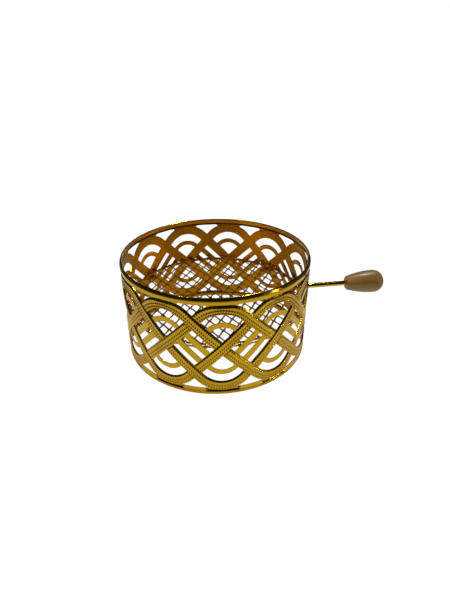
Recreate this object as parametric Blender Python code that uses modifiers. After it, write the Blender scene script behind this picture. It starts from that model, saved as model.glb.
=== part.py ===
"""A round openwork brass basket with an expanded-metal shelf at mid height and a turned wooden handle.

The wall is one pierced strip of sheet brass rolled into a cylinder. Its ends meet at a butt seam
that two straps close from inside, and a wire hoop stiffens each edge. The shelf lies on a hoop
carried by four lugs. The handle's rod stands on that hoop and leaves through a slot of the wall.
Metres, +Z up. The origin is the centre of the base of the whole object's box, and the handle
points along +X.
"""

import math

import bmesh
import bpy
from mathutils import Vector

MM = 0.001

# Driving dimensions
OUTER_RADIUS = 55.0 * MM
WALL_HEIGHT = 60.0 * MM
SHEET = 0.8 * MM
GAP = 0.3 * MM
HANDLE_REACH = 106.8 * MM
TOTAL_LENGTH = OUTER_RADIUS + HANDLE_REACH
AXIS = Vector((OUTER_RADIUS - TOTAL_LENGTH / 2, 0, 0))
COLUMNS = 36

# The woven pattern of the wall, drawn flat on the outer face
RIM_STRIP = 4.0 * MM
PATTERN_DROP = 0.35 * MM
MID = WALL_HEIGHT / 2 - PATTERN_DROP
PITCH = math.radians(32.19) * OUTER_RADIUS
BAND = 5.85 * MM
ARCH_RADIUS = 16.8 * MM
ARCH_CENTRE = MID + PITCH - ARCH_RADIUS * math.sqrt(2)
SLIM_OUTER = 11.45 * MM
SLIM_INNER = 8.4 * MM
SLIM_CENTRE = MID + 4.8 * MM
VEE = MID + BAND / math.sqrt(2)
TRIANGLE_HALF = 7.75 * MM
SLOT_WIDTH = 2.7 * MM
SLOT_LENGTH = 15.6 * MM
SLOT_STEP = 6.3 * MM
ARCHES = 11
FIRST_ARCH = math.radians(9.2)
SEAM = math.radians(-16.0)
SEAM_MARGIN = 1.2 * MM
SEAM_GAP = 0.3 * MM
LEAST_HOLE = 3.0 * MM**2

# Hoops, straps and shelf
RIM_WIRE = 1.4 * MM
SHELF_TOP = 31.7 * MM
SHELF_SHEET = 0.6 * MM
SHELF_RADIUS = 53.0 * MM
SHELF_EDGE = 1.3 * MM
MESH_WIDE = 6.4 * MM
MESH_LONG = 10.4 * MM
MESH_STRAND = 1.05 * MM
MESH_SHIFT = Vector((2.4, 1.7)) * MM
STRAP_WIDTH = 8.0 * MM
STRAP_SHEET = 0.6 * MM
LUG_WIDTH = 4.0 * MM
LUG_SHEET = 0.7 * MM
LUG_DROP = 3.1 * MM
LUG_REACH = 3.6 * MM
LUG_ARCHES = (1, 4, 7, 10)

# Handle
ROD_HEIGHT = 32.6 * MM
ROD_RADIUS = 1.5 * MM
ROD_START = SHELF_RADIUS + GAP
KNOB_START = 82.7 * MM
KNOB_LENGTH = HANDLE_REACH - KNOB_START
KNOB_BORE_DEPTH = 12.0 * MM

BRASS = ("brass", (0.66, 0.47, 0.07), 0.24, 1.0)
DARK_BRASS = ("dark_brass", (0.45, 0.29, 0.05), 0.38, 1.0)
WOOD = ("varnished_wood", (0.40, 0.27, 0.13), 0.35, 0.0)


def clear_scene():
    for old in list(bpy.data.objects):
        bpy.data.objects.remove(old, do_unlink=True)


def new_collection(name):
    collection = bpy.data.collections.new(name)
    bpy.context.scene.collection.children.link(collection)
    return collection


def material(node_name, look):
    finish, colour, roughness, metallic = look
    made = bpy.data.materials.new(f"{node_name}_{finish}")
    made.use_nodes = True
    made.diffuse_color = (*colour, 1)
    shader = made.node_tree.nodes["Principled BSDF"]
    shader.inputs["Base Color"].default_value = (*colour, 1)
    shader.inputs["Roughness"].default_value = roughness
    shader.inputs["Metallic"].default_value = metallic
    return made


def part_from_mesh(name, mesh, look, smooth_angle=35):
    part = bpy.data.objects.new(name, mesh)
    PARTS.objects.link(part)
    mesh.materials.clear()
    mesh.materials.append(material(name, look))
    mesh.shade_smooth()
    mesh.set_sharp_from_angle(angle=math.radians(smooth_angle))
    return part


def welded_mesh(bm, name):
    bmesh.ops.remove_doubles(bm, verts=bm.verts, dist=1e-7)
    mesh = bpy.data.meshes.new(name)
    bm.to_mesh(mesh)
    bm.free()
    return mesh


def plate(name, outlines, thickness):
    """A flat plate in XY from closed outlines, the first outside and the rest holes, centred on z = 0."""
    curve = bpy.data.curves.new(name, "CURVE")
    curve.dimensions = "2D"
    curve.fill_mode = "BOTH"
    curve.extrude = thickness / 2
    for outline in outlines:
        spline = curve.splines.new("POLY")
        spline.points.add(len(outline) - 1)
        for point, (x, y) in zip(spline.points, outline):
            point.co = (x, y, 0, 1)
        spline.use_cyclic_u = True
    drawn = bpy.data.objects.new(name, curve)
    PARTS.objects.link(drawn)
    bpy.context.view_layer.update()
    graph = bpy.context.evaluated_depsgraph_get()
    flat = bpy.data.meshes.new_from_object(drawn.evaluated_get(graph))
    bpy.data.objects.remove(drawn, do_unlink=True)
    bm = bmesh.new()
    bm.from_mesh(flat)
    bmesh.ops.remove_doubles(bm, verts=bm.verts, dist=1e-7)
    return bm


def arc(centre, radius, start, end, count):
    """Points on a circle from angle start to angle end, both included."""
    steps = [start + (end - start) * i / (count - 1) for i in range(count)]
    return [(centre[0] + radius * math.cos(a), centre[1] + radius * math.sin(a)) for a in steps]


def clipped(points, normal, limit):
    """The part of a closed outline where its dot product with normal is at most limit."""
    kept = []
    for i, here in enumerate(points):
        last = points[i - 1]
        d_last = last[0] * normal[0] + last[1] * normal[1] - limit
        d_here = here[0] * normal[0] + here[1] * normal[1] - limit
        if (d_last <= 0) != (d_here <= 0):
            t = d_last / (d_last - d_here)
            kept.append(tuple(a + (b - a) * t for a, b in zip(last, here)))
        if d_here <= 0:
            kept.append(here)
    return kept


def area(points):
    pairs = zip(points, points[1:] + points[:1])
    return abs(sum(a[0] * b[1] - b[0] * a[1] for a, b in pairs)) / 2


def vee_angle(radius, centre_z):
    """Polar angle, about an arch's centre line, where a circle meets the 45 degree edge of the vee."""
    rise = centre_z - VEE
    across = (rise + math.sqrt(2 * radius**2 - rise**2)) / 2
    return math.atan2(across - rise, across)


def crescent(x):
    """The curved slot between an arch of the plait and the slim arc inside it."""
    inner_edge = ARCH_RADIUS - BAND / 2
    high = vee_angle(inner_edge, ARCH_CENTRE)
    low = vee_angle(SLIM_OUTER, SLIM_CENTRE)
    over = arc((x, ARCH_CENTRE), inner_edge, high, math.pi - high, 7)
    under = arc((x, SLIM_CENTRE), SLIM_OUTER, math.pi - low, low, 6)
    return over + under


def lozenge(x):
    """The hole between the slim arc and the vee of the crossing below it."""
    low = vee_angle(SLIM_INNER, SLIM_CENTRE)
    return arc((x, SLIM_CENTRE), SLIM_INNER, low, math.pi - low, 5) + [(x, VEE)]


def triangle(x):
    """The hole between two neighbouring arches and the rim."""
    outer_edge = ARCH_RADIUS + BAND / 2
    rim = WALL_HEIGHT - RIM_STRIP
    side = []
    for share in (0.0, 0.35, 0.7, 1.0):
        from_arch = PITCH / 2 - TRIANGLE_HALF * share
        if from_arch > outer_edge / math.sqrt(2):
            height = ARCH_CENTRE + outer_edge * math.sqrt(2) - from_arch
        else:
            height = ARCH_CENTRE + math.sqrt(outer_edge**2 - from_arch**2)
        side.append((TRIANGLE_HALF * share, height))
    corner = (TRIANGLE_HALF - (rim - side[-1][1]), rim)
    right = [(x + across, height) for across, height in side + [corner]]
    left = [(x - across, height) for across, height in side[1:] + [corner]]
    return right + left[::-1]


def slots(x, lean):
    """Three parallel slots in the cell of the plait centred at x. lean is 1 or -1, rising to the right or left."""
    along = Vector((lean, 1)).normalized()
    across = Vector((along.y, -along.x))
    for step in (-1, 0, 1):
        centre = Vector((x, MID)) + across * SLOT_STEP * step
        reach = along * SLOT_LENGTH / 2
        half = across * SLOT_WIDTH / 2
        corners = (centre + reach + half, centre + reach - half, centre - reach - half, centre - reach + half)
        yield [tuple(corner) for corner in corners]


def wall_holes(length):
    """Every hole of the flat strip, cut short where it would run into the seam's margins."""
    found = []
    first = (FIRST_ARCH - SEAM) * OUTER_RADIUS
    for i in range(-1, ARCHES + 1):
        x = first + i * PITCH
        upper = [crescent(x), lozenge(x), triangle(x + PITCH / 2)]
        lower = [[(px, 2 * MID - pz) for px, pz in hole] for hole in upper]
        found += upper + lower + list(slots(x + PITCH / 2, 1 if i % 2 == 0 else -1))
    kept = []
    for hole in found:
        hole = clipped(hole, (-1, 0), -SEAM_MARGIN)
        hole = clipped(hole, (1, 0), length - SEAM_MARGIN) if hole else hole
        if len(hole) > 2 and area(hole) > LEAST_HOLE:
            kept.append(hole)
    return kept


def column_places(length):
    """Distances along the strip of the cylinder's columns, which include the four quarter points."""
    step = 2 * math.pi / COLUMNS
    first = math.ceil(SEAM / step + 0.25)
    places = []
    for i in range(first, first + COLUMNS):
        place = (i * step - SEAM) * OUTER_RADIUS
        if 0.5 * MM < place < length - 0.5 * MM:
            places.append(place)
    return places


def roll(bm):
    """Bends a flat strip, x along it, y up and z outwards, round the basket's axis."""
    for vert in bm.verts:
        angle = SEAM + vert.co.x / OUTER_RADIUS
        radius = OUTER_RADIUS - SHEET / 2 + vert.co.z
        height = vert.co.y
        vert.co = AXIS + Vector((radius * math.cos(angle), radius * math.sin(angle), height))


def make_wall():
    length = 2 * math.pi * OUTER_RADIUS - SEAM_GAP
    columns = column_places(length)
    base = [(0, 0)] + [(x, 0) for x in columns] + [(length, 0)]
    top = [(x, WALL_HEIGHT) for x, _ in reversed(base)]
    bm = plate("wall_flat", [base + top] + wall_holes(length), SHEET)
    for x in columns:
        geometry = bm.verts[:] + bm.edges[:] + bm.faces[:]
        bmesh.ops.bisect_plane(bm, geom=geometry, dist=1e-7, plane_co=(x, 0, 0), plane_no=(1, 0, 0))
    bmesh.ops.triangulate(bm, faces=bm.faces)
    roll(bm)
    wall = part_from_mesh("wall_band", welded_mesh(bm, "wall_band"), BRASS, 60)
    cut_rod_hole(wall)
    return wall


def cut_rod_hole(wall):
    bm = bmesh.new()
    bmesh.ops.create_cone(
        bm,
        cap_ends=True,
        segments=16,
        radius1=ROD_RADIUS + GAP,
        radius2=ROD_RADIUS + GAP,
        depth=8 * MM,
    )
    mesh = bpy.data.meshes.new("rod_hole")
    bm.to_mesh(mesh)
    bm.free()
    cutter = bpy.data.objects.new("rod_hole_cutter", mesh)
    CUTTERS.objects.link(cutter)
    cutter.location = AXIS + Vector((OUTER_RADIUS, 0, ROD_HEIGHT))
    cutter.rotation_euler = (0, math.pi / 2, 0)
    cutter.hide_render = True
    cutter.display_type = "WIRE"
    cut = wall.modifiers.new("rod_hole", "BOOLEAN")
    cut.operation = "DIFFERENCE"
    cut.solver = "EXACT"
    cut.object = cutter


def turned(name, profile, look, steps=COLUMNS):
    """A ring or a turned piece: a closed or open profile of (radius, height) swept round local Z."""
    mesh = bpy.data.meshes.new(name)
    edges = [(i, i + 1) for i in range(len(profile) - 1)]
    if profile[0][0] > 0 and profile[-1][0] > 0:
        edges.append((len(profile) - 1, 0))
    mesh.from_pydata([(r, 0, z) for r, z in profile], edges, [])
    part = part_from_mesh(name, mesh, look)
    screw = part.modifiers.new("turn", "SCREW")
    screw.steps = steps
    screw.render_steps = steps
    screw.use_merge_vertices = True
    screw.merge_threshold = 1e-6
    screw.use_smooth_shade = False
    return part


def hoop(name, radius, height, look, sides=6):
    """A hoop of round wire whose flats face up, down, in and out. radius is to the wire's centre."""
    reach = RIM_WIRE / 2 / math.cos(math.pi / sides)
    turns = [math.pi * (1 - 2 * i) / sides + math.pi / 2 for i in range(sides)]
    profile = [(radius + reach * math.cos(a), reach * math.sin(a)) for a in turns]
    ring = turned(name, profile, look)
    ring.location = AXIS + Vector((0, 0, height))
    return ring


def make_hoops():
    centre = OUTER_RADIUS - SHEET - GAP - RIM_WIRE / 2
    hoop("top_rim_wire", centre, WALL_HEIGHT - RIM_WIRE / 2, BRASS)
    hoop("bottom_rim_wire", centre, RIM_WIRE / 2, BRASS)
    hoop("shelf_hoop", centre, SHELF_TOP - SHELF_SHEET - GAP - RIM_WIRE / 2, DARK_BRASS)


def curved_strip(name, angle, width, inner, thickness, low, high, look):
    """A piece of sheet that follows the wall, centred at an angle round the axis."""
    bm = bmesh.new()
    bmesh.ops.create_cube(bm, size=1)
    bmesh.ops.subdivide_edges(
        bm,
        edges=[e for e in bm.edges if abs(e.verts[0].co.y - e.verts[1].co.y) > 0.5],
        cuts=1,
    )
    for vert in bm.verts:
        turn = angle + vert.co.y * width / inner
        radius = inner + (vert.co.x + 0.5) * thickness
        height = low + (vert.co.z + 0.5) * (high - low)
        vert.co = AXIS + Vector((radius * math.cos(turn), radius * math.sin(turn), height))
    bmesh.ops.triangulate(bm, faces=bm.faces)
    return part_from_mesh(name, welded_mesh(bm, name), look)


def make_straps():
    inner = OUTER_RADIUS - SHEET - GAP - STRAP_SHEET
    ends = RIM_WIRE + GAP
    hoop_low = SHELF_TOP - SHELF_SHEET - GAP - RIM_WIRE
    spans = {
        "seam_strap_lower": (ends, hoop_low - GAP),
        "seam_strap_upper": (SHELF_TOP + GAP, WALL_HEIGHT - ends),
    }
    for name, (low, high) in spans.items():
        curved_strip(name, SEAM, STRAP_WIDTH, inner, STRAP_SHEET, low, high, DARK_BRASS)


def make_shelf():
    """Expanded metal: a disc of sheet slit and stretched into diamonds, trimmed to a plain edge."""
    rim = arc((0, 0), SHELF_RADIUS, 0, 2 * math.pi * (1 - 1 / COLUMNS), COLUMNS)
    half = Vector((MESH_WIDE, MESH_LONG)) / 2
    to_edge = half.x * half.y / half.length
    half *= 1 - MESH_STRAND / 2 / to_edge
    reach = math.ceil(SHELF_RADIUS / MESH_WIDE)
    holes = []
    for i in range(-2 * reach, 2 * reach + 1):
        for j in range(-2 * reach, 2 * reach + 1):
            x = MESH_SHIFT.x + (i + j) * MESH_WIDE / 2
            y = MESH_SHIFT.y + (i - j) * MESH_LONG / 2
            if math.hypot(x, y) > SHELF_RADIUS:
                continue
            hole = [(x + half.x, y), (x, y + half.y), (x - half.x, y), (x, y - half.y)]
            for k in range(COLUMNS):
                facing = 2 * math.pi * (k + 0.5) / COLUMNS
                normal = (math.cos(facing), math.sin(facing))
                hole = clipped(hole, normal, SHELF_RADIUS - SHELF_EDGE) if hole else hole
            if len(hole) > 2 and area(hole) > LEAST_HOLE:
                holes.append(hole)
    bm = plate("shelf_flat", [rim] + holes, SHELF_SHEET)
    bmesh.ops.triangulate(bm, faces=bm.faces)
    shelf = part_from_mesh("shelf_mesh", welded_mesh(bm, "shelf_mesh"), DARK_BRASS)
    shelf.location = AXIS + Vector((0, 0, SHELF_TOP - SHELF_SHEET / 2))


def make_lug(name, angle):
    """An L of sheet: one leg against the wall, the other a foot under the shelf's hoop."""
    outer = OUTER_RADIUS - SHEET - GAP
    top = SHELF_TOP - SHELF_SHEET - 2 * GAP - RIM_WIRE
    outline = [
        (outer, top),
        (outer - LUG_REACH, top),
        (outer - LUG_REACH, top - LUG_SHEET),
        (outer - LUG_SHEET, top - LUG_SHEET),
        (outer - LUG_SHEET, top - LUG_DROP),
        (outer, top - LUG_DROP),
    ]
    bm = plate(name, [outline], LUG_WIDTH)
    turn = Vector((math.cos(angle), math.sin(angle), 0))
    side = Vector((-turn.y, turn.x, 0))
    sag = outer - math.sqrt(outer**2 - (LUG_WIDTH / 2) ** 2)
    for vert in bm.verts:
        radius, height, across = vert.co
        vert.co = AXIS + turn * (radius - sag) - side * across + Vector((0, 0, height))
    bmesh.ops.triangulate(bm, faces=bm.faces)
    part_from_mesh(name, welded_mesh(bm, name), DARK_BRASS)


def make_lugs():
    for number, arch in enumerate(LUG_ARCHES, start=1):
        make_lug(f"shelf_lug_{number}", FIRST_ARCH + arch * PITCH / OUTER_RADIUS)


def lay_along_x(part, start):
    """Turns a piece made round local Z to lie along +X, its local z = 0 at this distance from the axis."""
    part.rotation_euler = (0, math.pi / 2, 0)
    part.location = AXIS + Vector((start, 0, ROD_HEIGHT))


def make_rod():
    length = KNOB_START + KNOB_BORE_DEPTH - ROD_START
    edge = 0.3 * MM
    profile = [
        (0, length),
        (ROD_RADIUS - edge, length),
        (ROD_RADIUS, length - edge),
        (ROD_RADIUS, edge),
        (ROD_RADIUS - edge, 0),
        (0, 0),
    ]
    lay_along_x(turned("handle_rod", profile, BRASS, steps=16), ROD_START)


def knob_radius(share):
    """Radius of the teardrop at a share of its length from the rod's end."""
    face, widest, widest_at = 4.2 * MM, 7.1 * MM, 0.70
    if share <= widest_at:
        return face + (widest - face) * math.sin(math.pi / 2 * share / widest_at) ** 0.9
    rest = (share - widest_at) / (1 - widest_at)
    return widest * math.sqrt(max(1 - rest**2.4, 0))


def make_knob():
    edge = 0.6 * MM
    bore = ROD_RADIUS + GAP
    shares = [0.06, 0.2, 0.35, 0.5, 0.6, 0.7, 0.78, 0.85, 0.91, 0.96, 0.99]
    side = [(knob_radius(share), KNOB_LENGTH * share) for share in reversed(shares)]
    face = knob_radius(0)
    profile = [(0, KNOB_LENGTH)] + side + [(face, edge), (face - edge, 0), (bore, 0)]
    profile += [(bore, KNOB_BORE_DEPTH + GAP), (0, KNOB_BORE_DEPTH + GAP)]
    lay_along_x(turned("handle_knob", profile, WOOD, steps=24), KNOB_START)


clear_scene()
PARTS = new_collection("brass_mesh_basket")
CUTTERS = new_collection("cutters")
make_wall()
make_hoops()
make_straps()
make_shelf()
make_lugs()
make_rod()
make_knob()
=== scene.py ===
"""Looks of the openwork brass basket: embossed plait wall, expanded-metal shelf and turned wooden handle.

The wall is drawn flat first. There s runs along the strip, z is the height and r the distance from
the basket's axis, and roll() bends the strip round the axis. All lengths are in metres.
"""

import math

import bmesh
import bpy
import numpy as np
from mathutils import Matrix, Vector


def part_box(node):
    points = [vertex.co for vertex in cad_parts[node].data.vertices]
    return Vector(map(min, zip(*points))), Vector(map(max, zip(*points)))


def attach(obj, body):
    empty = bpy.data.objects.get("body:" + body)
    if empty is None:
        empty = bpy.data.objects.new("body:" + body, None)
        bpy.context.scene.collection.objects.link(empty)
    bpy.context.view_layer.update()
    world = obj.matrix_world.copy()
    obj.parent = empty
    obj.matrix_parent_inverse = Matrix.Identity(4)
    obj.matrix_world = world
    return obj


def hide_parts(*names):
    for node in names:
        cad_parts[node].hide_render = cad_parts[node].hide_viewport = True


MM = 0.001

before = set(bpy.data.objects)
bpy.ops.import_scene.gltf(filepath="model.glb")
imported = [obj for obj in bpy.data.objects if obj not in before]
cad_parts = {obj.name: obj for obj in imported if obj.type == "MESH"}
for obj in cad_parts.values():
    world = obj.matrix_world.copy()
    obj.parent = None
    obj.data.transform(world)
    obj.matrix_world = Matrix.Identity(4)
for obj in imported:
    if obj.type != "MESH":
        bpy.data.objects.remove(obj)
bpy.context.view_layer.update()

# Places read from the CAD parts
WALL_LOW, WALL_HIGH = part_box("wall_band")
AXIS_X = (WALL_LOW.x + WALL_HIGH.x) / 2
OUTER = (WALL_HIGH.y - WALL_LOW.y) / 2
HEIGHT = WALL_HIGH.z
ROD_LOW, ROD_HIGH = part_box("handle_rod")
ROD_HEIGHT = (ROD_LOW.z + ROD_HIGH.z) / 2
ROD_RADIUS = (ROD_HIGH.z - ROD_LOW.z) / 2
KNOB_LOW, KNOB_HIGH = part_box("handle_knob")
SHELF_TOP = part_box("shelf_mesh")[1].z
HOOP_LOW, HOOP_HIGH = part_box("shelf_hoop")

# The pattern of the wall, as in the CAD
MID = HEIGHT / 2 - 0.35 * MM
PITCH = math.radians(32.19) * OUTER
BAND = 5.85 * MM
ARCH_RADIUS = 16.8 * MM
ARCH_CENTRE = MID + PITCH - ARCH_RADIUS * math.sqrt(2)
SLIM_OUTER = 11.45 * MM
SLIM_INNER = 8.4 * MM
SLIM_CENTRE = MID + 4.8 * MM
VEE = MID + BAND / math.sqrt(2)
RIM_STRIP = 4.0 * MM
TRIANGLE_HALF = 7.75 * MM
SLOT_WIDTH = 2.7 * MM
SLOT_LENGTH = 15.6 * MM
SLOT_STEP = 6.3 * MM
ARCHES = 11
FIRST_ARCH = math.radians(9.2)
SEAM = math.radians(-16.0)
SEAM_GAP = 0.3 * MM
SEAM_MARGIN = 1.2 * MM
LEAST_HOLE = 3.0 * MM**2
STRIP = 2 * math.pi * OUTER - SEAM_GAP
FIRST_PEAK = (FIRST_ARCH - SEAM) * OUTER

# Relief of the stamped sheet
SHEET_INSIDE = OUTER - 1.05 * MM
SHEET_OUTSIDE = OUTER - 0.75 * MM
CREST = OUTER - 0.01 * MM
EDGE = BAND / 2 + 0.04 * MM
BEAD_PITCH = 1.4 * MM
BEAD_ROWS = 1.68 * MM
BEAD_HEIGHT = 0.18 * MM
BEAD_SHIFT = Vector((-0.30, -0.92)) * MM
STEPS_PER_BEAD = 6
DIP_RUN_OUTSIDE = 0.45 * MM
DIP_RUN_INSIDE = 0.8 * MM

# Width of a strand's upper bevel where it peaks, bottoms out, falls and rises
BEVEL_PEAK = 1.3 * MM
BEVEL_TROUGH = 0.75 * MM
BEVEL_FALLING = 1.2 * MM
BEVEL_RISING = 0.85 * MM


def smooth(t):
    t = np.clip(t, 0, 1)
    return t * t * (3 - 2 * t)


def roll(points):
    """Bends flat (s, z, r) points round the basket's axis."""
    s, z, r = points[..., 0], points[..., 1], points[..., 2]
    angle = SEAM + s / OUTER
    return np.stack([AXIS_X + r * np.cos(angle), r * np.sin(angle), z], -1)


def grid_faces(rows, cols, wrap_rows, wrap_cols):
    i = np.arange(rows if wrap_rows else rows - 1)[:, None]
    j = np.arange(cols if wrap_cols else cols - 1)[None, :]
    nexti, nextj = (i + 1) % rows, (j + 1) % cols
    corners = (i * cols + j, i * cols + nextj, nexti * cols + nextj, nexti * cols + j)
    return np.stack([c + 0 * (i + j) for c in corners], -1).reshape(-1, 4)


def grid_mesh(name, points, wrap_rows=False, wrap_cols=True, caps=False):
    """A mesh from rows of points. wrap_cols closes each row, and caps fills the first and last row."""
    rows, cols = points.shape[:2]
    faces = grid_faces(rows, cols, wrap_rows, wrap_cols).tolist()
    if caps:
        faces.append(list(range(cols))[::-1])
        faces.append(list(range((rows - 1) * cols, rows * cols)))
    mesh = bpy.data.meshes.new(name)
    mesh.from_pydata(points.reshape(-1, 3).tolist(), [], faces)
    return mesh


def joined(name, strips):
    """One mesh of separate closed strips, each given as rows of points."""
    bm = bmesh.new()
    for rows in strips:
        strip = grid_mesh("strip", rows, caps=True)
        bm.from_mesh(strip)
        bpy.data.meshes.remove(strip)
    bmesh.ops.recalc_face_normals(bm, faces=bm.faces)
    mesh = bpy.data.meshes.new(name)
    bm.to_mesh(mesh)
    bm.free()
    return mesh


def outward(mesh):
    """Turns every face of a closed mesh outwards."""
    bm = bmesh.new()
    bm.from_mesh(mesh)
    bmesh.ops.recalc_face_normals(bm, faces=bm.faces)
    bm.to_mesh(mesh)
    bm.free()
    return mesh


def piece(name, mesh, material, nodes=(), sharp=40):
    """A shown piece of the object, which may stand for CAD nodes."""
    mesh.materials.clear()
    mesh.materials.append(material)
    mesh.shade_smooth()
    mesh.set_sharp_from_angle(angle=math.radians(sharp))
    made = bpy.data.objects.new(name, mesh)
    bpy.context.scene.collection.objects.link(made)
    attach(made, "root")
    if nodes:
        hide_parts(*nodes)


# ---------------------------------------------------------------- materials


class Nodes:
    """Short ways to build a material's node tree."""

    def __init__(self, name):
        self.material = bpy.data.materials.new(name)
        self.material.use_nodes = True
        self.tree = self.material.node_tree
        self.shader = self.tree.nodes["Principled BSDF"]
        self.place = self.add("ShaderNodeTexCoord").outputs["Object"]

    def add(self, kind, **values):
        node = self.tree.nodes.new(kind)
        for name, value in values.items():
            setattr(node, name, value)
        return node

    def link(self, source, target):
        self.tree.links.new(source, target)

    def noise(self, scale, detail=4, stretch=(1, 1, 1), distortion=0.0):
        mapping = self.add("ShaderNodeMapping")
        mapping.inputs["Scale"].default_value = stretch
        self.link(self.place, mapping.inputs["Vector"])
        node = self.add("ShaderNodeTexNoise")
        node.inputs["Scale"].default_value = scale
        node.inputs["Detail"].default_value = detail
        node.inputs["Distortion"].default_value = distortion
        self.link(mapping.outputs["Vector"], node.inputs["Vector"])
        return node.outputs["Fac"]

    def span(self, value, low, high, to_low, to_high):
        node = self.add("ShaderNodeMapRange")
        for name, number in zip(("From Min", "From Max", "To Min", "To Max"), (low, high, to_low, to_high)):
            node.inputs[name].default_value = number
        self.link(value, node.inputs["Value"])
        return node.outputs["Result"]

    def maths(self, operation, a, b):
        node = self.add("ShaderNodeMath", operation=operation)
        for socket, value in zip(node.inputs, (a, b)):
            if isinstance(value, (int, float)):
                socket.default_value = value
            else:
                self.link(value, socket)
        return node.outputs[0]

    def mix(self, share, a, b):
        node = self.add("ShaderNodeMix", data_type="RGBA")
        self.link(share, node.inputs["Factor"])
        for name, value in (("A", a), ("B", b)):
            socket = next(s for s in node.inputs if s.name == name and s.type == "RGBA")
            if isinstance(value, tuple):
                socket.default_value = (*value, 1)
            else:
                self.link(value, socket)
        return next(s for s in node.outputs if s.type == "RGBA")

    def bump(self, height, strength, distance):
        node = self.add("ShaderNodeBump")
        node.inputs["Strength"].default_value = strength
        node.inputs["Distance"].default_value = distance
        self.link(height, node.inputs["Height"])
        self.link(node.outputs["Normal"], self.shader.inputs["Normal"])


def brass(name, bright, dull, painted_shade, rough_low, rough_high, grain=0.25):
    """Polished brass with tarnish in blotches, wear and fine scratches, and a painted shade, also rougher,
    where the mesh marks it: in the pits of the stamping, along the strands' upper bevels and under the hems.
    """
    n = Nodes(name)
    blotch = n.span(n.noise(55, 5, distortion=0.4), 0.42, 0.68, 0, 1)
    colour = n.mix(blotch, bright, dull)
    # Painted shade: where the mesh marks it, the colour darkens to the given shade colour
    painted_shade_mask = n.add("ShaderNodeAttribute", attribute_name="painted_shade_mask").outputs["Fac"]
    colour = n.mix(painted_shade_mask, colour, painted_shade)
    n.link(colour, n.shader.inputs["Base Color"])
    n.shader.inputs["Metallic"].default_value = 1.0
    n.shader.inputs["Coat Weight"].default_value = 0.25
    n.shader.inputs["Coat Roughness"].default_value = 0.08
    speck = n.span(n.noise(900, 3), 0.35, 0.7, -0.04, 0.08)
    rough = n.maths("ADD", n.span(n.noise(130, 4), 0.3, 0.7, rough_low, rough_high), speck)
    rough = n.maths("ADD", rough, n.maths("MULTIPLY", painted_shade_mask, 0.25))
    n.link(rough, n.shader.inputs["Roughness"])
    scratches = n.noise(700, 2, stretch=(1, 1, 9))
    dents = n.noise(160, 3)
    n.bump(n.maths("ADD", scratches, n.maths("MULTIPLY", dents, 2.0)), grain, 0.05 * MM)
    return n.material


def varnished_wood(name):
    """Light wood turned along the handle, with fine grain and pores under a satin varnish."""
    n = Nodes(name)
    grain = n.noise(260, 6, stretch=(0.10, 1, 1), distortion=0.6)
    colour = n.mix(n.span(grain, 0.35, 0.65, 0, 1), (0.50, 0.30, 0.075), (0.37, 0.205, 0.045))
    pores = n.span(n.noise(1500, 2, stretch=(0.07, 1, 1)), 0.62, 0.74, 0, 0.55)
    colour = n.mix(pores, colour, (0.19, 0.095, 0.03))
    n.link(colour, n.shader.inputs["Base Color"])
    n.link(n.span(n.noise(300, 4), 0.3, 0.7, 0.34, 0.5), n.shader.inputs["Roughness"])
    n.shader.inputs["Coat Weight"].default_value = 0.25
    n.shader.inputs["Coat Roughness"].default_value = 0.22
    n.shader.inputs["Sheen Weight"].default_value = 0.35
    n.shader.inputs["Sheen Tint"].default_value = (1.0, 0.75, 0.45, 1)
    n.bump(n.noise(1100, 3, stretch=(0.08, 1, 1)), 0.3, 0.03 * MM)
    return n.material


POLISHED = brass("polished_brass", (0.84, 0.50, 0.010), (0.72, 0.39, 0.008), (0.10, 0.035, 0.002), 0.09, 0.16)
PLAIN = brass("plain_brass", (0.85, 0.51, 0.010), (0.74, 0.41, 0.008), (0.10, 0.035, 0.002), 0.10, 0.18)
ROD = brass("rod_brass", (0.88, 0.60, 0.05), (0.80, 0.50, 0.04), (0.30, 0.14, 0.01), 0.10, 0.14, 0.04)
WRAP = brass("wrap_brass", (0.80, 0.46, 0.030), (0.60, 0.32, 0.020), (0.15, 0.07, 0.01), 0.22, 0.32)
MESH = brass("mesh_brass", (0.62, 0.33, 0.030), (0.38, 0.18, 0.016), (0.15, 0.07, 0.01), 0.32, 0.44)
AGED = brass("aged_brass", (0.60, 0.30, 0.030), (0.42, 0.19, 0.018), (0.15, 0.07, 0.01), 0.26, 0.38)
WOOD = varnished_wood("varnished_wood")


# ---------------------------------------------------------------- wall


def arc(centre, radius, start, end, count):
    steps = [start + (end - start) * i / (count - 1) for i in range(count)]
    return [(centre[0] + radius * math.cos(a), centre[1] + radius * math.sin(a)) for a in steps]


def clipped(points, side, limit):
    """The part of a closed outline where side times its first coordinate is at most limit."""
    kept = []
    for i, here in enumerate(points):
        last = points[i - 1]
        d_last, d_here = side * last[0] - limit, side * here[0] - limit
        if (d_last <= 0) != (d_here <= 0):
            t = d_last / (d_last - d_here)
            kept.append(tuple(a + (b - a) * t for a, b in zip(last, here)))
        if d_here <= 0:
            kept.append(here)
    return kept


def area(points):
    pairs = zip(points, points[1:] + points[:1])
    return abs(sum(a[0] * b[1] - b[0] * a[1] for a, b in pairs)) / 2


def vee_angle(radius, centre_z):
    """Polar angle, about an arch's centre line, where a circle meets the 45 degree edge of the vee."""
    rise = centre_z - VEE
    across = (rise + math.sqrt(2 * radius**2 - rise**2)) / 2
    return math.atan2(across - rise, across)


def crescent(x):
    inner_edge = ARCH_RADIUS - BAND / 2
    high = vee_angle(inner_edge, ARCH_CENTRE)
    low = vee_angle(SLIM_OUTER, SLIM_CENTRE)
    over = arc((x, ARCH_CENTRE), inner_edge, high, math.pi - high, 25)
    under = arc((x, SLIM_CENTRE), SLIM_OUTER, math.pi - low, low, 21)
    return over + under


def lozenge(x):
    low = vee_angle(SLIM_INNER, SLIM_CENTRE)
    return arc((x, SLIM_CENTRE), SLIM_INNER, low, math.pi - low, 17) + [(x, VEE)]


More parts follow.
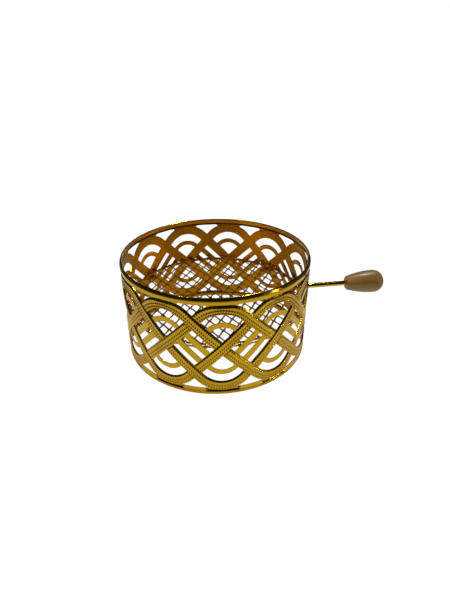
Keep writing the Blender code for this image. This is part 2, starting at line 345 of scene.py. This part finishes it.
def triangle(x):
    """The hole between two neighbouring arches and the rim."""
    outer_edge = ARCH_RADIUS + BAND / 2
    rim = HEIGHT - RIM_STRIP
    side = []
    for share in (0.0, 0.2, 0.35, 0.5, 0.6, 0.7, 0.8, 0.9, 1.0):
        from_arch = PITCH / 2 - TRIANGLE_HALF * share
        if from_arch > outer_edge / math.sqrt(2):
            height = ARCH_CENTRE + outer_edge * math.sqrt(2) - from_arch
        else:
            height = ARCH_CENTRE + math.sqrt(outer_edge**2 - from_arch**2)
        side.append((TRIANGLE_HALF * share, height))
    corner = (TRIANGLE_HALF - (rim - side[-1][1]), rim)
    right = [(x + across, height) for across, height in side + [corner]]
    left = [(x - across, height) for across, height in side[1:] + [corner]]
    return right + left[::-1]


def slots(x, lean):
    """Three parallel slots in the cell of the plait centred at x, rising to the right or left."""
    along = Vector((lean, 1)).normalized()
    across = Vector((along.y, -along.x))
    for step in (-1, 0, 1):
        centre = Vector((x, MID)) + across * SLOT_STEP * step
        reach = along * SLOT_LENGTH / 2
        half = across * SLOT_WIDTH / 2
        corners = (centre + reach + half, centre + reach - half, centre - reach - half, centre - reach + half)
        yield [tuple(corner) for corner in corners]


def wall_holes():
    found = []
    for i in range(-1, ARCHES + 1):
        x = FIRST_PEAK + i * PITCH
        upper = [crescent(x), lozenge(x), triangle(x + PITCH / 2)]
        lower = [[(px, 2 * MID - pz) for px, pz in hole] for hole in upper]
        found += upper + lower + list(slots(x + PITCH / 2, 1 if i % 2 == 0 else -1))
    for hole in found:
        hole = clipped(hole, -1, -SEAM_MARGIN)
        hole = clipped(hole, 1, STRIP - SEAM_MARGIN) if hole else hole
        if len(hole) > 2 and area(hole) > LEAST_HOLE:
            yield hole


def make_sheet():
    """The flat pierced sheet with softly rounded edges, which shows as slim arcs and bars."""
    rounding = 0.07 * MM
    thickness = SHEET_OUTSIDE - SHEET_INSIDE
    edge = 1.0 * MM
    border = [(0, edge), (STRIP, edge), (STRIP, HEIGHT - edge), (0, HEIGHT - edge)]
    curve = bpy.data.curves.new("sheet_outline", "CURVE")
    curve.dimensions = "2D"
    curve.fill_mode = "BOTH"
    curve.extrude = thickness / 2 - rounding
    curve.bevel_depth = rounding
    curve.bevel_resolution = 1
    curve.offset = -rounding
    for outline in [border, *wall_holes()]:
        spline = curve.splines.new("POLY")
        spline.points.add(len(outline) - 1)
        for point, (x, y) in zip(spline.points, outline):
            point.co = (x, y, 0, 1)
        spline.use_cyclic_u = True
    drawn = bpy.data.objects.new("sheet_outline", curve)
    bpy.context.scene.collection.objects.link(drawn)
    bpy.context.view_layer.update()
    flat = bpy.data.meshes.new_from_object(drawn.evaluated_get(bpy.context.evaluated_depsgraph_get()))
    bpy.data.objects.remove(drawn, do_unlink=True)
    bm = bmesh.new()
    bm.from_mesh(flat)
    bmesh.ops.remove_doubles(bm, verts=bm.verts, dist=1e-7)
    columns = 150
    for i in range(1, columns):
        geometry = bm.verts[:] + bm.edges[:] + bm.faces[:]
        x = STRIP * i / columns
        bmesh.ops.bisect_plane(bm, geom=geometry, dist=1e-8, plane_co=(x, 0, 0), plane_no=(1, 0, 0))
    bmesh.ops.triangulate(bm, faces=[f for f in bm.faces if len(f.verts) > 4])
    middle = (SHEET_INSIDE + SHEET_OUTSIDE) / 2
    for vert in bm.verts:
        vert.co = roll(np.array([vert.co.x, vert.co.y, middle + vert.co.z]))
    mesh = bpy.data.meshes.new("wall_sheet")
    bmesh.ops.recalc_face_normals(bm, faces=bm.faces)
    bm.to_mesh(mesh)
    bm.free()
    piece("wall_sheet", mesh, PLAIN, ["wall_band"], sharp=50)


ARC_RUN = ARCH_RADIUS * math.pi / 4
HALF_WAVE = 2 * ARC_RUN + (2 * PITCH - ARCH_RADIUS * math.sqrt(2)) * math.sqrt(2)


def strand_line(u):
    """Centre line of a strand at lengths u from a peak: place, slope angle and share of peak and trough."""
    wave = np.floor(u / HALF_WAVE)
    t = u - wave * HALF_WAVE
    left = HALF_WAVE - t
    turn = np.minimum(np.minimum(t, left), ARC_RUN) / ARCH_RADIUS
    from_start = t < HALF_WAVE / 2
    bent = np.minimum(t, left)
    straight = np.maximum(bent - ARC_RUN, 0) / math.sqrt(2)
    across = ARCH_RADIUS * np.sin(turn) + straight
    drop = ARCH_RADIUS * (1 - np.cos(turn)) + straight
    top = ARCH_CENTRE + ARCH_RADIUS
    x = np.where(from_start, across, 2 * PITCH - across)
    z = np.where(from_start, top - drop, 2 * MID - top + drop)
    falling = wave % 2 == 0
    z = np.where(falling, z, 2 * MID - z)
    x = x + wave * 2 * PITCH
    slope = np.where(falling, -turn, turn)
    bend = 1 - turn / (math.pi / 4)
    at_peak = np.where(from_start == falling, bend, 0)
    at_trough = np.where(from_start != falling, bend, 0)
    return x, z, slope, at_peak, at_trough


def crossings(over):
    """Lengths from a peak, within one full wave, of the crossings where a strand passes over or under."""
    at = [ARC_RUN + (share * PITCH - ARCH_RADIUS / math.sqrt(2)) * math.sqrt(2) for share in (0.5, 1.0, 1.5)]
    outer, middle = [at[0], at[2]], [at[1]]
    falling = outer if over else middle
    rising = middle if over else outer
    return falling + [HALF_WAVE + x for x in rising]


def lift(u, dips, edge):
    """1 on the free runs, falling to 0 where another strand passes over."""
    shape = np.ones_like(u)
    for dip in dips:
        away = np.abs((u - dip + HALF_WAVE) % (2 * HALF_WAVE) - HALF_WAVE)
        shape *= smooth((away - BAND / 2 + 0.05 * MM) / edge)
    return shape


def strand_steps(first, last, dips, edge):
    """Rows along a strand: even steps in each bead, and extra rows where it dips."""
    count = round((last - first) / BEAD_PITCH * STEPS_PER_BEAD)
    rows = list(first + np.arange(count) * BEAD_PITCH / STEPS_PER_BEAD)
    waves = range(math.floor(first / (2 * HALF_WAVE)) - 1, math.ceil(last / (2 * HALF_WAVE)) + 1)
    for wave in waves:
        for dip in dips:
            for side in (-1, 1):
                for share in (0.0, 0.25, 0.5, 0.75, 1.0):
                    reach = BAND / 2 - 0.05 * MM + share * edge
                    rows.append(dip + wave * 2 * HALF_WAVE + side * reach)
    rows = np.array(sorted(r for r in rows if first <= r <= last))
    apart = np.concatenate([[True], np.diff(rows) > 0.03 * MM])
    return rows[apart]


def soft_minimum(a, b, blend):
    return (a + b - np.sqrt((a - b) ** 2 + blend**2)) / 2 + blend / 8


def strand_surface(u):
    """Rows of flat (s, z, r) points round a strand's section, and how much painted shade each gets: in the
    pits between the beads and along the upper bevel.
    """
    x, z, slope, at_peak, at_trough = strand_line(u)
    falling = np.where(slope < 0, -slope, 0) / (math.pi / 4)
    rising = np.where(slope > 0, slope, 0) / (math.pi / 4)
    bevel_up = BEVEL_PEAK * at_peak + BEVEL_TROUGH * at_trough
    bevel_up = bevel_up + BEVEL_FALLING * falling + BEVEL_RISING * rising
    scallop = 0.15 * np.cos(2 * math.pi * u / BEAD_PITCH)
    bevel_low = (0.25 * at_peak + 0.5 * at_trough + 0.3 * (falling + rising)) * MM
    normal = np.stack([-np.sin(slope), np.cos(slope)], -1)
    room_up = (HEIGHT - RIM_STRIP - 0.40 * MM - z) / normal[:, 1]
    edge_up = np.where(at_peak > 0, soft_minimum(EDGE, room_up, 0.5 * MM), EDGE)
    edge_low = np.full_like(u, -EDGE)
    shift = normal @ np.array(BEAD_SHIFT)

    outer_shares = np.linspace(0, 1, 27)
    v = edge_up[:, None] + (edge_low - edge_up)[:, None] * outer_shares
    up = np.clip((edge_up[:, None] - v) / bevel_up[:, None], 0, 1)
    low = np.clip((v - edge_low[:, None]) / bevel_low[:, None], 0, 1)
    body = (1 - (1 - up) ** 1.1) * (1 - (1 - low) ** 1.6)
    w = v - shift[:, None]
    row_wave = np.where(np.abs(w) < BEAD_ROWS, np.cos(2 * math.pi * w / BEAD_ROWS), 1)
    bead_wave = np.cos(2 * math.pi * u / BEAD_PITCH)[:, None]
    bead = 0.3 * (row_wave + bead_wave) + 0.4 * (1 - (1 - row_wave) * (1 - bead_wave) / 2)
    fade = smooth((up + scallop[:, None]) * 4 - 2.6) * smooth(low * 1.3)
    over = lift(u, crossings(False), DIP_RUN_OUTSIDE)[:, None]
    relief = CREST - BEAD_HEIGHT - SHEET_OUTSIDE
    r_out = SHEET_OUTSIDE + 0.02 * MM + over * ((relief - 0.02 * MM) * body + BEAD_HEIGHT * bead * fade)
    bend = np.maximum(at_peak, at_trough)[:, None]
    # Painted shade in the pits between the beads, stronger where the strand bends
    painted_shade = smooth((-bead + 0.05) / 0.5) * fade * over * (0.5 + 0.5 * bend)
    # Painted shade along the upper bevel: a dark band on the free runs, standing in for a dark reflection
    painted_shade = np.maximum(painted_shade, 0.4 * smooth((0.9 - up) / 0.2) * over)

    inner_v = edge_low[:, None] + (edge_up - edge_low)[:, None] * np.linspace(0, 1, 19)
    inner_w = inner_v - shift[:, None]
    dimples = 0.6 * np.cos(2 * math.pi * inner_w / BEAD_ROWS) + 0.4 * bead_wave
    rounded = smooth((EDGE - np.abs(inner_v)) / (0.5 * MM))
    under = lift(u, crossings(True), DIP_RUN_INSIDE)[:, None]
    r_in = SHEET_INSIDE - 0.01 * MM - under * rounded * (0.09 - 0.07 * dimples) * MM

    across = np.concatenate([v, inner_v], 1)
    radius = np.concatenate([r_out, r_in], 1)
    flat = np.stack(
        [x[:, None] + across * normal[:, :1], z[:, None] + across * normal[:, 1:], radius], -1
    )
    return flat, np.concatenate([painted_shade, 0 * inner_v], 1)


def cut_to_strip(bm):
    """Cuts a flat piece square where the strip ends at the seam, and closes the cuts."""
    margin = 0.02 * MM
    for place, side in ((margin, -1), (STRIP - margin, 1)):
        geometry = bm.verts[:] + bm.edges[:] + bm.faces[:]
        bmesh.ops.bisect_plane(
            bm, geom=geometry, dist=1e-8, plane_co=(place, 0, 0), plane_no=(side, 0, 0), clear_outer=True
        )
    bmesh.ops.holes_fill(bm, edges=[e for e in bm.edges if e.is_boundary], sides=0)


def make_strand(number):
    peak = FIRST_PEAK + (number - 1) * PITCH
    waves_before = math.ceil((peak + BAND) / (4 * PITCH)) + 1
    waves_after = math.ceil((STRIP - peak + BAND) / (4 * PITCH)) + 1
    first, last = -waves_before * 2 * HALF_WAVE, waves_after * 2 * HALF_WAVE
    u = strand_steps(first, last, crossings(False), DIP_RUN_OUTSIDE)
    x = strand_line(u)[0] + peak
    u = u[(x > -2 * BAND) & (x < STRIP + 2 * BAND)]
    flat, painted_shade = strand_surface(u)
    flat[..., 0] += peak
    mesh = grid_mesh(f"plait_strand_{number}", flat, caps=True)
    # The painted shade goes onto the mesh for the brass material
    mesh.attributes.new("painted_shade_mask", "FLOAT", "POINT").data.foreach_set("value", painted_shade.ravel().astype(np.float32))
    bm = bmesh.new()
    bm.from_mesh(mesh)
    cut_to_strip(bm)
    bmesh.ops.recalc_face_normals(bm, faces=bm.faces)
    bm.to_mesh(mesh)
    bm.free()
    places = np.empty(len(mesh.vertices) * 3)
    mesh.vertices.foreach_get("co", places)
    mesh.vertices.foreach_set("co", roll(places.reshape(-1, 3)).ravel())
    piece(f"plait_strand_{number}", mesh, POLISHED)


def from_arch(s):
    """Distance along the strip from each place to the nearest arch's centre line."""
    return np.abs((s - FIRST_PEAK + PITCH / 2) % PITCH - PITCH / 2)


def rim_lip(s, edge_free, edge_arch, crest_free, crest_arch, dash_half):
    """Lower part of a rim's outer face at each place: from its edge on the sheet to its crest.

    Edge and crest are depths from the rim's end. They differ at the arches, for dash_half to each side.
    """
    taper = smooth((from_arch(s) - dash_half) / (1.2 * MM))
    edge = edge_arch + (edge_free - edge_arch) * taper
    crest = crest_arch + (crest_free - crest_arch) * taper
    ones = np.ones_like(s)
    section = [(edge, ones * (SHEET_OUTSIDE + 0.02 * MM))]
    for share in (0.35, 0.7, 0.93):
        section.append((edge + (crest - edge) * share, ones * (SHEET_OUTSIDE + 0.60 * MM * share)))
    section.append((crest, ones * (CREST - 0.10 * MM)))
    section.append((crest - 0.15 * MM, ones * (CREST - 0.06 * MM)))
    return section


def rim_hem(s, shoulder, slope_in, round_radius, hem):
    """The rest of a rim: outer face, sloping shoulder, rounded edge and the hem turned down inside."""
    ones = np.ones_like(s)
    round_start, round_steps = 26, 12
    centre = CREST - slope_in - round_radius * math.cos(math.radians(round_start))
    section = [(ones * (shoulder + 0.15 * MM), ones * (CREST - 0.01 * MM))]
    section.append((ones * shoulder, ones * (CREST - 0.03 * MM)))
    for step in range(round_steps + 1):
        turn = math.radians(round_start + (180 - round_start) * step / round_steps)
        depth = round_radius * (1 - math.sin(turn))
        section.append((ones * depth, ones * (centre + round_radius * math.cos(turn))))
    inside = centre - round_radius
    for below, inward in ((-0.1, 0), (0, 0.06), (0.03, 0.2)):
        section.append((ones * (hem + below * MM), ones * (inside + inward * MM)))
    return section


def unevenness(s):
    """Small dents of a hand-turned hem along the strip."""
    waves = ((61.0, 0.3), (37.3, 1.9), (17.9, 4.0), (9.7, 2.2), (5.9, 5.1))
    return sum(0.02 * MM * np.sin(2 * math.pi * s / (length * MM) + turn) for length, turn in waves)


def make_rim(name, node, top):
    """A hemmed edge of the wall, with painted shade in the corner under the hem."""
    columns = 760
    s = np.linspace(0.01 * MM, STRIP - 0.01 * MM, columns)
    if top:
        section = rim_lip(s, RIM_STRIP, 4.35 * MM, 3.85 * MM, 3.8 * MM, 6.3 * MM)
        section += rim_hem(s, 1.6 * MM, 0.62 * MM, 0.36 * MM, 2.6 * MM)
    else:
        section = rim_lip(s, RIM_STRIP, 2.9 * MM, 1.9 * MM, 1.9 * MM, 8.3 * MM)
        section += rim_hem(s, 0.75 * MM, 0.15 * MM, 0.60 * MM, 2.4 * MM)
    inner_edge = RIM_STRIP - 0.05 * MM
    section.append((np.full_like(s, inner_edge), np.full_like(s, SHEET_INSIDE - 0.02 * MM)))
    depth = np.stack([point[0] for point in section], 1)
    radius = np.stack([point[1] for point in section], 1)
    dented = smooth((2.6 * MM - depth) / (1.2 * MM)) * smooth((CREST - radius) / (0.25 * MM))
    radius = radius + dented * unevenness(s)[:, None]
    height = HEIGHT - depth if top else depth
    points = roll(np.stack([np.repeat(s[:, None], len(section), 1), height, radius], -1))
    mesh = outward(grid_mesh(name, points, caps=True))
    # Painted shade in the corner under the hem: the last two points of the section
    painted_shade_under_hem = np.zeros_like(depth)
    painted_shade_under_hem[:, -2:] = 1
    mesh.attributes.new("painted_shade_mask", "FLOAT", "POINT").data.foreach_set("value", painted_shade_under_hem.ravel().astype(np.float32))
    piece(name, mesh, PLAIN, [node], sharp=50)


def make_wall():
    make_sheet()
    for number in (1, 2, 3, 4):
        make_strand(number)
    make_rim("top_rim", "top_rim_wire", True)
    make_rim("bottom_rim", "bottom_rim_wire", False)


# ---------------------------------------------------------------- turned pieces


def turned(profile, steps):
    """Rows of points of a profile of (radius, height) turned round local Z."""
    profile = np.array(profile)
    angle = np.linspace(0, 2 * math.pi, steps, endpoint=False)[:, None]
    radius, height = profile[None, :, 0], profile[None, :, 1]
    return np.stack([radius * np.cos(angle), radius * np.sin(angle), height + 0 * angle], -1)


def turned_mesh(name, profile, steps, place, along_x=False):
    """A closed turned body. A profile that starts and ends on the axis is closed there."""
    on_axis = profile[0][0] == 0 and profile[-1][0] == 0
    mesh = grid_mesh(name, turned(profile, steps), wrap_rows=True, wrap_cols=not on_axis)
    bm = bmesh.new()
    bm.from_mesh(mesh)
    bmesh.ops.remove_doubles(bm, verts=bm.verts, dist=1e-7)
    bmesh.ops.recalc_face_normals(bm, faces=bm.faces)
    if along_x:
        bm.transform(Matrix.Rotation(math.pi / 2, 4, "Y"))
    bm.transform(Matrix.Translation(place))
    bm.to_mesh(mesh)
    bm.free()
    return mesh


def round_section(centre, radius, sides):
    steps = [2 * math.pi * i / sides for i in range(sides)]
    return [(centre[0] + radius * math.cos(a), centre[1] + radius * math.sin(a)) for a in steps]


# ---------------------------------------------------------------- shelf

MESH_WIDE = 6.4 * MM
MESH_LONG = 10.4 * MM
MESH_SHIFT = Vector((2.4, 1.7)) * MM
STRAND_WIDE = 1.15 * MM
STRAND_THICK = 0.5 * MM
BOND_LONG = 0.5 * MM
MESH_RADIUS = 52.0 * MM
RING_RADIUS = MESH_RADIUS + 0.95 * MM
RING_HEIGHT = (HOOP_LOW.z + HOOP_HIGH.z) / 2 + 0.2 * MM
RING_WIRE = 0.5 * MM
WRAPS = 58
WRAP_HALF_WIDE = 0.85 * MM
WRAP_HALF_THICK = 0.17 * MM


def mesh_strand_line(column, low, high):
    """One zigzag strand of the expanded metal, over the steps from low to high: x, y and twist."""
    rows = []
    side = -1 if column % 2 else 1
    half_bond = BOND_LONG / 2
    middle = MESH_SHIFT.x + MESH_WIDE * (column + 0.5) / 2
    swing = MESH_WIDE / 4 - STRAND_WIDE / 5
    for step in range(low, high + 1):
        y = MESH_SHIFT.y + step * MESH_LONG / 2
        here = side if step % 2 == 0 else -side
        rows.append((middle + here * swing, y - half_bond, 0.0))
        rows.append((middle + here * swing, y + half_bond, 0.0))
        run = MESH_LONG / 2 - 2 * half_bond
        for share in (0.2, 0.4, 0.6, 0.8):
            across = here * swing * (1 - 2 * share)
            tilt = math.radians(26) * math.sin(math.pi * share) * here
            rows.append((middle + across, y + half_bond + run * share, tilt))
    return rows


def make_shelf_mesh():
    """Expanded metal: zigzag strands that touch at the bonds, each twisted between them."""
    z = SHELF_TOP - STRAND_THICK / 2 - 0.05 * MM
    columns = math.ceil(MESH_RADIUS / MESH_WIDE * 2) + 2
    steps = math.ceil(MESH_RADIUS / MESH_LONG * 2) + 2
    corner = [(1, 0.6), (0.7, 1), (-0.7, 1), (-1, 0.6), (-1, -0.6), (-0.7, -1), (0.7, -1), (1, -0.6)]
    strips = []
    for column in range(-columns, columns):
        line = np.array(mesh_strand_line(column, -steps, steps))
        inside = np.hypot(line[:, 0], line[:, 1]) < MESH_RADIUS
        if inside.sum() < 3:
            continue
        line = line[inside]
        ahead = np.gradient(line[:, :2], axis=0)
        ahead /= np.linalg.norm(ahead, axis=1)[:, None]
        side = np.stack([-ahead[:, 1], ahead[:, 0]], -1)
        rows = []
        for (x, y, tilt), (nx, ny) in zip(line, side):
            row = []
            for a, b in corner:
                wide, thick = a * STRAND_WIDE / 2, b * STRAND_THICK / 2
                across = wide * math.cos(tilt) - thick * math.sin(tilt)
                up = wide * math.sin(tilt) + thick * math.cos(tilt)
                row.append((AXIS_X + x + nx * across, y + ny * across, z + up))
            rows.append(row)
        strips.append(np.array(rows))
    mesh = joined("shelf_expanded_metal", strips)
    piece("shelf_expanded_metal", mesh, MESH, ["shelf_mesh"], sharp=50)


def wrap_line(top):
    """A strand end from the mesh over and round the ring: (radius, height, half width) at each place."""
    line = [(MESH_RADIUS - 1.3 * MM, top - 0.05 * MM, WRAP_HALF_WIDE * 0.5)]
    line += [(MESH_RADIUS - 0.5 * MM, top + 0.16 * MM, WRAP_HALF_WIDE * 0.8)]
    bend = RING_WIRE + 0.22 * MM
    for step in range(9):
        turn = math.radians(105 - step * 26)
        rise = 0.55 * MM if step < 3 else 0
        height = RING_HEIGHT + rise + bend * math.sin(turn)
        line.append((RING_RADIUS + bend * math.cos(turn), height, WRAP_HALF_WIDE * (1 - 0.04 * step)))
    return line


def wrap_rows(line, angle):
    """Rows of points of one strand end at an angle round the basket."""
    corners = ((1, 0.3), (0.6, 1), (-0.6, 1), (-1, 0.3), (-1, -1), (1, -1))
    outward_way = np.array([math.cos(angle), math.sin(angle), 0])
    sideways = np.array([-math.sin(angle), math.cos(angle), 0])
    rows = []
    for i, (radius, height, half) in enumerate(line):
        before, after = line[max(i - 1, 0)], line[min(i + 1, len(line) - 1)]
        way = np.array([after[0] - before[0], after[1] - before[1]])
        way /= np.linalg.norm(way)
        row = []
        for a, b in corners:
            r = radius - way[1] * b * WRAP_HALF_THICK
            h = height + way[0] * b * WRAP_HALF_THICK
            row.append(np.array([AXIS_X, 0, h]) + outward_way * r + sideways * a * half)
        rows.append(row)
    return np.array(rows)


def make_shelf_edge():
    """The flat edge of the shelf, the hoop under it, and the strand ends that wrap over the hoop."""
    top = SHELF_TOP - 0.1 * MM
    inner, outer = MESH_RADIUS - 0.45 * MM, MESH_RADIUS + 0.75 * MM
    flat = [(inner, top), (inner + 0.12 * MM, top + 0.07 * MM), (outer, top), (outer, top - 0.4 * MM)]
    flat += [(inner, top - 0.4 * MM)]
    mesh = turned_mesh("shelf_edge", flat, 180, Vector((AXIS_X, 0, 0)))
    piece("shelf_edge", mesh, AGED)
    section = round_section((RING_RADIUS, RING_HEIGHT), RING_WIRE, 12)
    mesh = turned_mesh("shelf_ring", section, 180, Vector((AXIS_X, 0, 0)))
    piece("shelf_ring", mesh, AGED, ["shelf_hoop"])

    line = wrap_line(top)
    strips = [wrap_rows(line, 2 * math.pi * (number + 0.5) / WRAPS) for number in range(WRAPS)]
    piece("shelf_edge_wraps", joined("shelf_edge_wraps", strips), WRAP, sharp=60)


# ---------------------------------------------------------------- handle and CAD pieces


def knob_radius(share):
    """Radius of the teardrop at a share of its length from the rod's end."""
    face, widest, widest_at = 4.2 * MM, 7.1 * MM, 0.70
    if share <= widest_at:
        return face + (widest - face) * math.sin(math.pi / 2 * share / widest_at) ** 0.9
    rest = (share - widest_at) / (1 - widest_at)
    return widest * math.sqrt(max(1 - rest**2.4, 0))


def make_knob():
    length = KNOB_HIGH.x - KNOB_LOW.x
    profile = [(0, length)]
    for i in range(1, 60):
        share = 1 - (i / 60) ** 2 if i < 24 else 0.84 * (60 - i) / 36
        profile.append((knob_radius(share), length * share))
    face = knob_radius(0)
    bore = ROD_RADIUS + 0.12 * MM
    profile += [(face - 0.08 * MM, 0.25 * MM), (face - 0.35 * MM, 0.05 * MM), (face - 0.7 * MM, 0)]
    profile += [(bore + 0.3 * MM, 0), (bore, 0.25 * MM), (bore, 4 * MM), (0, 4 * MM)]
    place = Vector((KNOB_LOW.x, 0, ROD_HEIGHT))
    mesh = turned_mesh("wooden_knob", profile, 96, place, along_x=True)
    piece("wooden_knob", mesh, WOOD, ["handle_knob"], sharp=60)


def make_rod():
    length = KNOB_LOW.x + 3.9 * MM - ROD_LOW.x
    profile = [(0, length), (ROD_RADIUS, length)]
    profile += [(ROD_RADIUS, length * share) for share in (0.75, 0.5, 0.25)]
    profile += [(ROD_RADIUS, 0.3 * MM), (ROD_RADIUS - 0.1 * MM, 0.08 * MM)]
    profile += [(ROD_RADIUS - 0.3 * MM, 0), (0, 0)]
    mesh = turned_mesh("round_rod", profile, 48, Vector((ROD_LOW.x, 0, ROD_HEIGHT)), along_x=True)
    piece("round_rod", mesh, ROD, ["handle_rod"], sharp=60)


def dress_cad_nodes():
    """CAD pieces whose shape is right: softened edges and the finish of aged brass."""
    for node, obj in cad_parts.items():
        if obj.hide_render:
            continue
        obj.data.materials.clear()
        obj.data.materials.append(AGED)
        bevel = obj.modifiers.new("soft_edge", "BEVEL")
        bevel.width = 0.12 * MM
        bevel.segments = 2
        bevel.limit_method = "ANGLE"
        bevel.angle_limit = math.radians(40)


# ---------------------------------------------------------------- stage, light and camera


# Light that the floor gives off round the basket and inside it
FLOOR_GLOW = (0.52, 0.52, 0.52)
FLOOR_SHADE = (0.31, 0.20, 0.045)
GLOW_NEAR = 0.14
GLOW_FAR = 0.22


def make_floor():
    """White to the camera. For light it glows grey round the basket and brown inside its wall."""
    floor_size = 40.0
    bpy.ops.mesh.primitive_plane_add(size=floor_size, location=(0, 0, -0.02 * MM))
    floor = bpy.context.object
    floor.name = "floor"
    n = Nodes("floor")
    n.shader.inputs["Base Color"].default_value = (0.05, 0.05, 0.05, 1)
    n.shader.inputs["Roughness"].default_value = 0.9
    from_axis = n.add("ShaderNodeVectorMath", operation="DISTANCE")
    from_axis.inputs[1].default_value = (AXIS_X, 0, 0)
    n.link(n.place, from_axis.inputs[0])
    away = from_axis.outputs["Value"]
    ground = n.mix(n.span(away, OUTER - 4 * MM, OUTER + 8 * MM, 0, 1), FLOOR_SHADE, FLOOR_GLOW)
    seen = n.add("ShaderNodeLightPath").outputs["Is Camera Ray"]
    n.link(n.mix(seen, ground, (1.0, 1.0, 1.0)), n.shader.inputs["Emission Color"])
    glow = n.maths("MAXIMUM", n.span(away, GLOW_NEAR, GLOW_FAR, 1.0, 0.02), seen)
    n.link(glow, n.shader.inputs["Emission Strength"])
    floor.data.materials.append(n.material)


def make_world():
    """White to the camera. For light it is a dim room, slightly brighter below the horizon."""
    world = bpy.data.worlds.new("studio")
    bpy.context.scene.world = world
    world.use_nodes = True
    tree = world.node_tree
    room = tree.nodes["Background"]
    place = tree.nodes.new("ShaderNodeTexCoord")
    split = tree.nodes.new("ShaderNodeSeparateXYZ")
    ramp = tree.nodes.new("ShaderNodeValToRGB")
    tree.links.new(place.outputs["Generated"], split.inputs["Vector"])
    tree.links.new(split.outputs["Z"], ramp.inputs["Fac"])
    ramp.color_ramp.elements[0].position = 0.0
    ramp.color_ramp.elements[0].color = (0.02, 0.02, 0.02, 1)
    ramp.color_ramp.elements[1].position = 0.10
    ramp.color_ramp.elements[1].color = (0.012, 0.012, 0.012, 1)
    tree.links.new(ramp.outputs["Color"], room.inputs["Color"])
    white = tree.nodes.new("ShaderNodeBackground")
    white.inputs["Color"].default_value = (1, 1, 1, 1)
    path = tree.nodes.new("ShaderNodeLightPath")
    mix = tree.nodes.new("ShaderNodeMixShader")
    tree.links.new(path.outputs["Is Camera Ray"], mix.inputs["Fac"])
    tree.links.new(room.outputs["Background"], mix.inputs[1])
    tree.links.new(white.outputs["Background"], mix.inputs[2])
    tree.links.new(mix.outputs["Shader"], tree.nodes["World Output"].inputs["Surface"])


def area_light(name, place, target, size, watts):
    light = bpy.data.lights.new(name, "AREA")
    light.size = size
    light.energy = watts
    lamp = bpy.data.objects.new(name, light)
    bpy.context.scene.collection.objects.link(lamp)
    lamp.location = place
    lamp.rotation_euler = (Vector(target) - Vector(place)).to_track_quat("-Z", "Y").to_euler()


def make_lights():
    target = (AXIS_X, 0, MID)
    area_light("key", (0.36, 0.48, 1.40), target, 0.16, 9)
    area_light("fill", (-0.9, -0.5, 1.5), target, 0.06, 6)
    area_light("side", (1.2, -0.7, 0.10), target, 0.05, 1.5)


def make_camera():
    """Above the front of the basket, looking down on it."""
    turn = math.radians(-6.2)
    distance, above, yaw, pitch, tilt = 4.327 * OUTER, 1.941 * OUTER, -0.0227, 0.5306, 0.0095
    camera = bpy.data.objects.new("camera", bpy.data.cameras.new("camera"))
    bpy.context.scene.collection.objects.link(camera)
    place = Matrix.Rotation(turn, 3, "Z") @ Vector((0, -distance, 0))
    look = Matrix.Rotation(yaw + turn, 3, "Z") @ Matrix.Rotation(-pitch, 3, "X")
    look = look @ Matrix.Rotation(tilt, 3, "Y") @ Matrix.Rotation(math.pi / 2, 3, "X")
    camera.matrix_world = Matrix.Translation(
        (AXIS_X + place.x, place.y, HEIGHT + above)
    ) @ look.to_4x4()
    camera.data.sensor_width = 36
    camera.data.lens = 26.765
    camera.data.clip_start = 0.005
    bpy.context.scene.camera = camera


make_wall()
make_shelf_mesh()
make_shelf_edge()
make_rod()
make_knob()
dress_cad_nodes()
make_floor()
make_world()
make_lights()
make_camera()
bpy.context.scene.view_settings.view_transform = "Standard"
